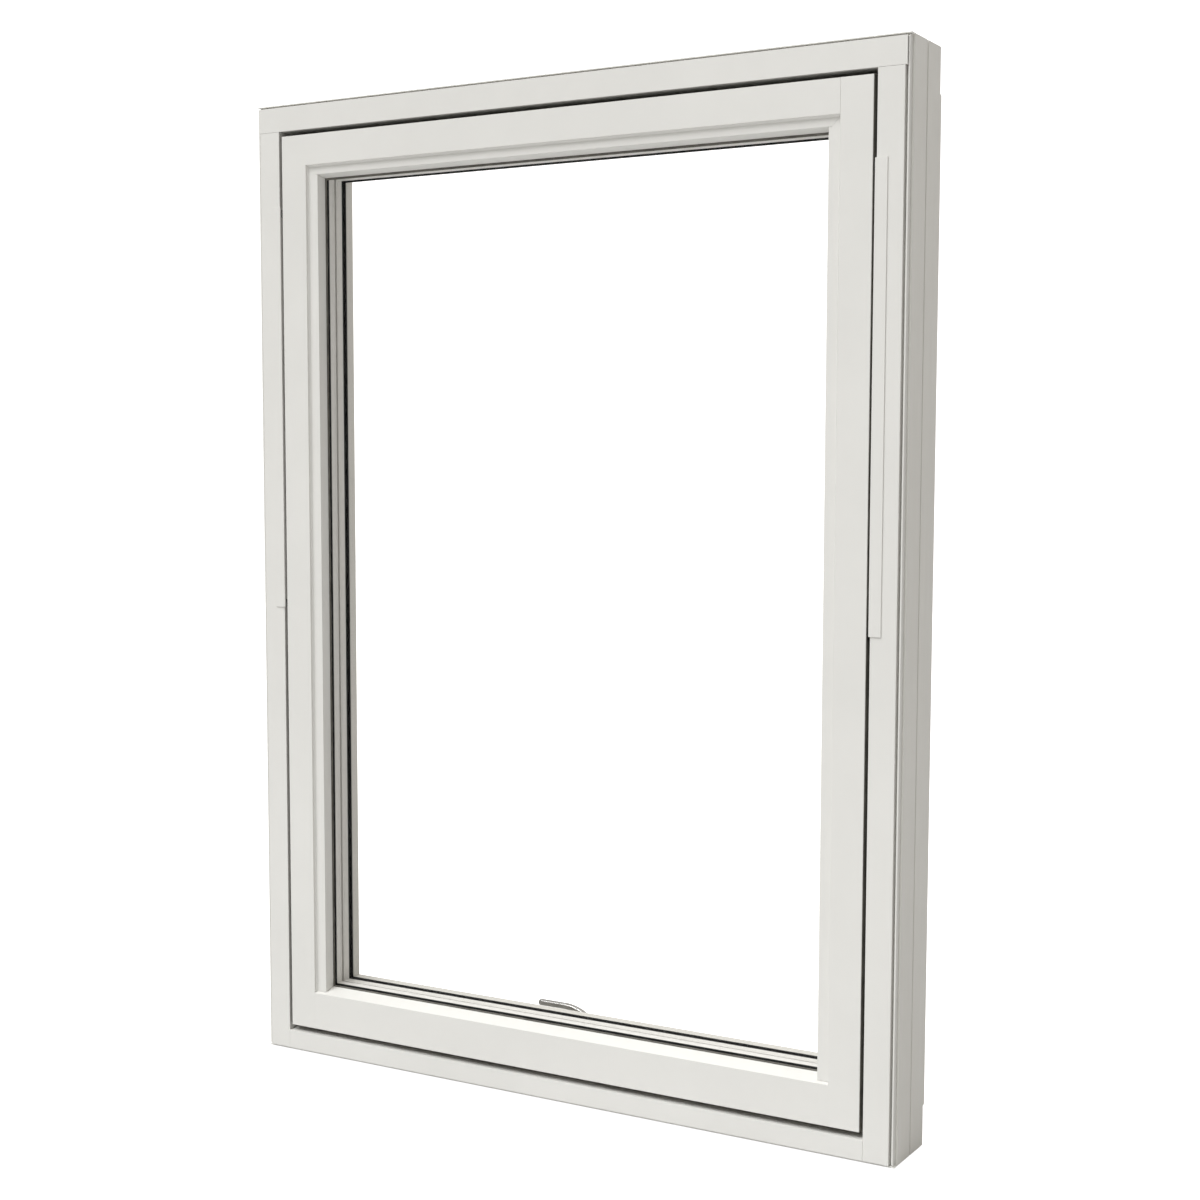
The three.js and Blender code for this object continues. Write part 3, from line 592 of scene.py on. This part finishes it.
def lever():
    """Oval bar swept along its crank, on a turned hub, with a square spindle."""
    (x0, y0, _), (_, y1, z1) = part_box("handle_lever")
    joint = next(j for j in frame["record"]["behaviour"]["joints"] if j["name"] == "handle_turn")
    hub = Vector(joint["pos_m"])
    mid_y = y1 - BAR_DEEP
    tip_x = x0 + 0.3 * MM
    path = lever_path(hub, tip_x, z1 - BAR_HIGH)
    rings = []
    for i, p in enumerate(path):
        ahead = (path[min(i + 1, len(path) - 1)] - path[max(i - 1, 0)]).normalized()
        across = Vector((-ahead.z, 0, ahead.x))
        if across.z < 0:
            across = -across
        wide = BAR_HIGH + 4.4 * MM * max(0.0, 1 - i / SWELL_STEPS) ** 1.6      # swells into the hub
        to_end = (p.x - tip_x) / END_ROUND
        end_round = math.sqrt(max(0.5, 1 - max(0.0, 1 - to_end) ** 2))
        rings.append(lever_ring(p.x, mid_y, p.z, across, wide, end_round))
    bm = bmesh.new()
    loft(bm, rings)
    bmesh.ops.recalc_face_normals(bm, faces=bm.faces)
    place("handle_lever_grip", bm, "handle_lever", "handle", ("handle_lever",))

    bm = bmesh.new()
    rose_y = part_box("handle_rosette")[1][1]
    turned(bm, (hub.x, 0, hub.z), (0, 1, 0), [
        (rose_y - 5 * MM, 7.6 * MM), (rose_y + 0.5 * MM, 7.6 * MM), (rose_y + 0.7 * MM, 8 * MM),
        (rose_y + 2.4 * MM, 8 * MM), (rose_y + 2.8 * MM, 7.4 * MM), (rose_y + 3.4 * MM, 7.4 * MM),
        (rose_y + 3.8 * MM, 8 * MM), (mid_y - 6 * MM, 8 * MM), (mid_y - 2.4 * MM, 8.4 * MM),
        (mid_y + 3.4 * MM, 8.5 * MM), (mid_y + 4.3 * MM, 7.8 * MM), (mid_y + 4.75 * MM, 6 * MM)], 48)
    place("handle_lever_hub", bm, "satin_chrome", "handle")

    bm = bmesh.new()
    half = 3.4 * MM
    loft(bm, [[(hub.x + sx * half, y, hub.z + sz * half) for sx, sz in SQUARE]
              for y in (y0 + 0.2 * MM, rose_y - 5 * MM)])
    bmesh.ops.recalc_face_normals(bm, faces=bm.faces)
    soften(place("handle_spindle", bm, "zinc_steel", "handle"), 0.3 * MM, 2)


lever()


# ---- screws and plugs ---------------------------------------------------------------------------
def between(low, high, share):
    return low + (high - low) * share


# inner face of a plate, from its outermost face, and its screws as shares of its depth and height
PLATES = (("arm_bracket", 2.5 * MM, ((0.22, 0.14), (0.78, 0.14), (0.22, 0.86), (0.78, 0.86))),
          ("lock_keep", 2.0 * MM, ((0.16, 0.12), (0.16, 0.88), (0.84, 0.12), (0.84, 0.88))))
PIVOT_PLATE_FACE = 5.4 * MM
PLUG_DEPTH, PLUG_HEIGHTS = 62 * MM, (0.16, 0.62, 1.12, 1.39)
PLUG = [(-1 * MM, 5 * MM), (0, 6.5 * MM), (0.4 * MM, 6.4 * MM), (0.8 * MM, 5.6 * MM), (0.95 * MM, 3 * MM)]

low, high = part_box("handle_rosette")
screw_heads("rosette_screws", "sash", 3.4 * MM,
            [((x, high[1] - 0.05 * MM, (low[2] + high[2]) / 2), (0, 1, 0)) for x in (-22 * MM, 22 * MM)])
for side, sx in SIDES:
    outward, inward = (sx, 0, 0), (-sx, 0, 0)
    spots = []
    for name, plate, shares in PLATES:
        low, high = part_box(f"{side}_{name}")
        x = (high[0] if sx > 0 else low[0]) - sx * plate
        spots += [((x, between(low[1], high[1], v), between(low[2], high[2], w)), inward)
                  for v, w in shares]
    screw_heads(f"{side}_jamb_screws", "frame", 2.2 * MM, spots)
    low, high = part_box(f"{side}_sash_pivot_plate")
    x = (high[0] if sx > 0 else low[0]) - sx * PIVOT_PLATE_FACE
    screw_heads(f"{side}_plate_screws", "sash", 2.4 * MM,
                [((x, (low[1] + high[1]) / 2, between(low[2], high[2], w)), outward)
                 for w in (0.22, 0.42, 0.62, 0.82)])
    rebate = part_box(f"{side}_lock_keep")[0 if sx > 0 else 1][0] - sx * 0.3 * MM
    plug_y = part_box(f"{side}_jamb_timber")[0][1] + PLUG_DEPTH
    bm = bmesh.new()
    for z in PLUG_HEIGHTS:
        turned(bm, (rebate, plug_y, z), inward, PLUG)
    bmesh.ops.recalc_face_normals(bm, faces=bm.faces)
    place(f"{side}_fixing_plugs", bm, "nylon", "frame")
low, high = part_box("lock_faceplate")
screw_heads("faceplate_screws", "sash", 3 * MM,
            [((x, (low[1] + high[1]) / 2, low[2] + 0.02 * MM), (0, 0, -1))
             for x in (-0.138, -0.05, 0.05, 0.138)])

# ---- stage, light, camera -----------------------------------------------------------------------
FLOOR_GLOW = 1.0           # keeps the floor as pale as the studio behind it
AMBIENT, STUDIO = 0.31, 1.5        # strength of the light all round, and of the studio as it is seen
AMBIENT_RGB = (1.0, 0.965, 0.915)
IN_MIRROR = 0.5            # how much of the seen studio shows in the panes' reflection


def stage_floor():
    bm = bmesh.new()
    bmesh.ops.create_circle(bm, cap_ends=True, segments=96, radius=14)
    bmesh.ops.translate(bm, verts=bm.verts, vec=(0, 0, -0.002))
    mesh = bpy.data.meshes.new("studio_floor")
    bm.to_mesh(mesh)
    bm.free()
    obj = bpy.data.objects.new("studio_floor", mesh)
    scene.collection.objects.link(obj)
    m = Mat("studio_floor_paint", (0.62, 0.62, 0.62), 0.8, specular=0.1)
    m.tint(m.noise(3, 3), (0.615, 0.615, 0.615), (0.625, 0.625, 0.625))
    m.bsdf.inputs["Emission Color"].default_value = (1, 1, 1, 1)
    path = m.node("ShaderNodeLightPath")
    m.link(m.add(path.outputs["Is Camera Ray"], FLOOR_GLOW, "MULTIPLY"), m.bsdf.inputs["Emission Strength"])
    mesh.materials.append(m.mat)


def world():
    w = bpy.data.worlds.new("studio")
    scene.world = w
    w.use_nodes = True
    t = w.node_tree
    back = t.nodes["Background"]
    back.inputs["Color"].default_value = (*AMBIENT_RGB, 1)
    back.inputs["Strength"].default_value = AMBIENT
    seen = t.nodes.new("ShaderNodeBackground")
    seen.inputs["Color"].default_value = (1, 1, 1, 1)
    seen.inputs["Strength"].default_value = STUDIO
    path = t.nodes.new("ShaderNodeLightPath")
    share = t.nodes.new("ShaderNodeMath")
    share.operation, share.use_clamp = "MULTIPLY_ADD", True
    share.inputs[1].default_value = IN_MIRROR
    t.links.new(path.outputs["Is Singular Ray"], share.inputs[0])
    t.links.new(path.outputs["Is Camera Ray"], share.inputs[2])
    mix = t.nodes.new("ShaderNodeMixShader")
    t.links.new(share.outputs[0], mix.inputs[0])
    t.links.new(back.outputs[0], mix.inputs[1])
    t.links.new(seen.outputs[0], mix.inputs[2])
    t.links.new(mix.outputs[0], t.nodes["World Output"].inputs["Surface"])


def lamp(name, direction, strength, angle, color):
    """A sun as wide as angle degrees, shining along direction."""
    data = bpy.data.lights.new(name, "SUN")
    data.energy, data.angle, data.color = strength, math.radians(angle), color
    obj = bpy.data.objects.new(name, data)
    obj.rotation_mode = "QUATERNION"
    obj.rotation_quaternion = Vector(direction).to_track_quat("-Z", "Y")
    scene.collection.objects.link(obj)


stage_floor()
world()
lamp("key", (0.25, 0.55, -0.8), 2.42, 40, (0.97, 0.985, 1.0))
lamp("top", (0.0, 0.1, -1.0), 0.55, 60, (1.0, 0.99, 0.97))
lamp("back", (0.0, -0.8, -0.55), 0.78, 80, (1.0, 0.985, 0.96))

VIEW_AZ, VIEW_DOWN, VIEW_ROLL = 29.897, 4.9975, 0.19    # degrees
VIEW_FROM = (1.45189, -2.35788, 0.9328)
LENS, SENSOR, SHIFT = 56.93, 36.0, (-0.02336, 0.02552)


def camera():
    data = bpy.data.cameras.new("camera")
    data.lens, data.sensor_width = LENS, SENSOR
    data.shift_x, data.shift_y = SHIFT
    data.clip_start, data.clip_end = 0.05, 60
    az, down, roll = (math.radians(a) for a in (VIEW_AZ, VIEW_DOWN, VIEW_ROLL))
    forward = Vector((-math.sin(az) * math.cos(down), math.cos(az) * math.cos(down), -math.sin(down)))
    right = forward.cross(Vector((0, 0, 1))).normalized()
    up = right.cross(forward)
    right, up = (right * math.cos(roll) + up * math.sin(roll),
                 up * math.cos(roll) - right * math.sin(roll))
    cam = bpy.data.objects.new("camera", data)
    turn = Matrix((right, up, -forward)).transposed().to_4x4()
    cam.matrix_world = Matrix.Translation(VIEW_FROM) @ turn
    scene.collection.objects.link(cam)
    scene.camera = cam


camera()
scene.cycles.transparent_max_bounces = 32        # light gets through three panes and back
scene.view_settings.view_transform = "Standard"
scene.view_settings.look = "None"
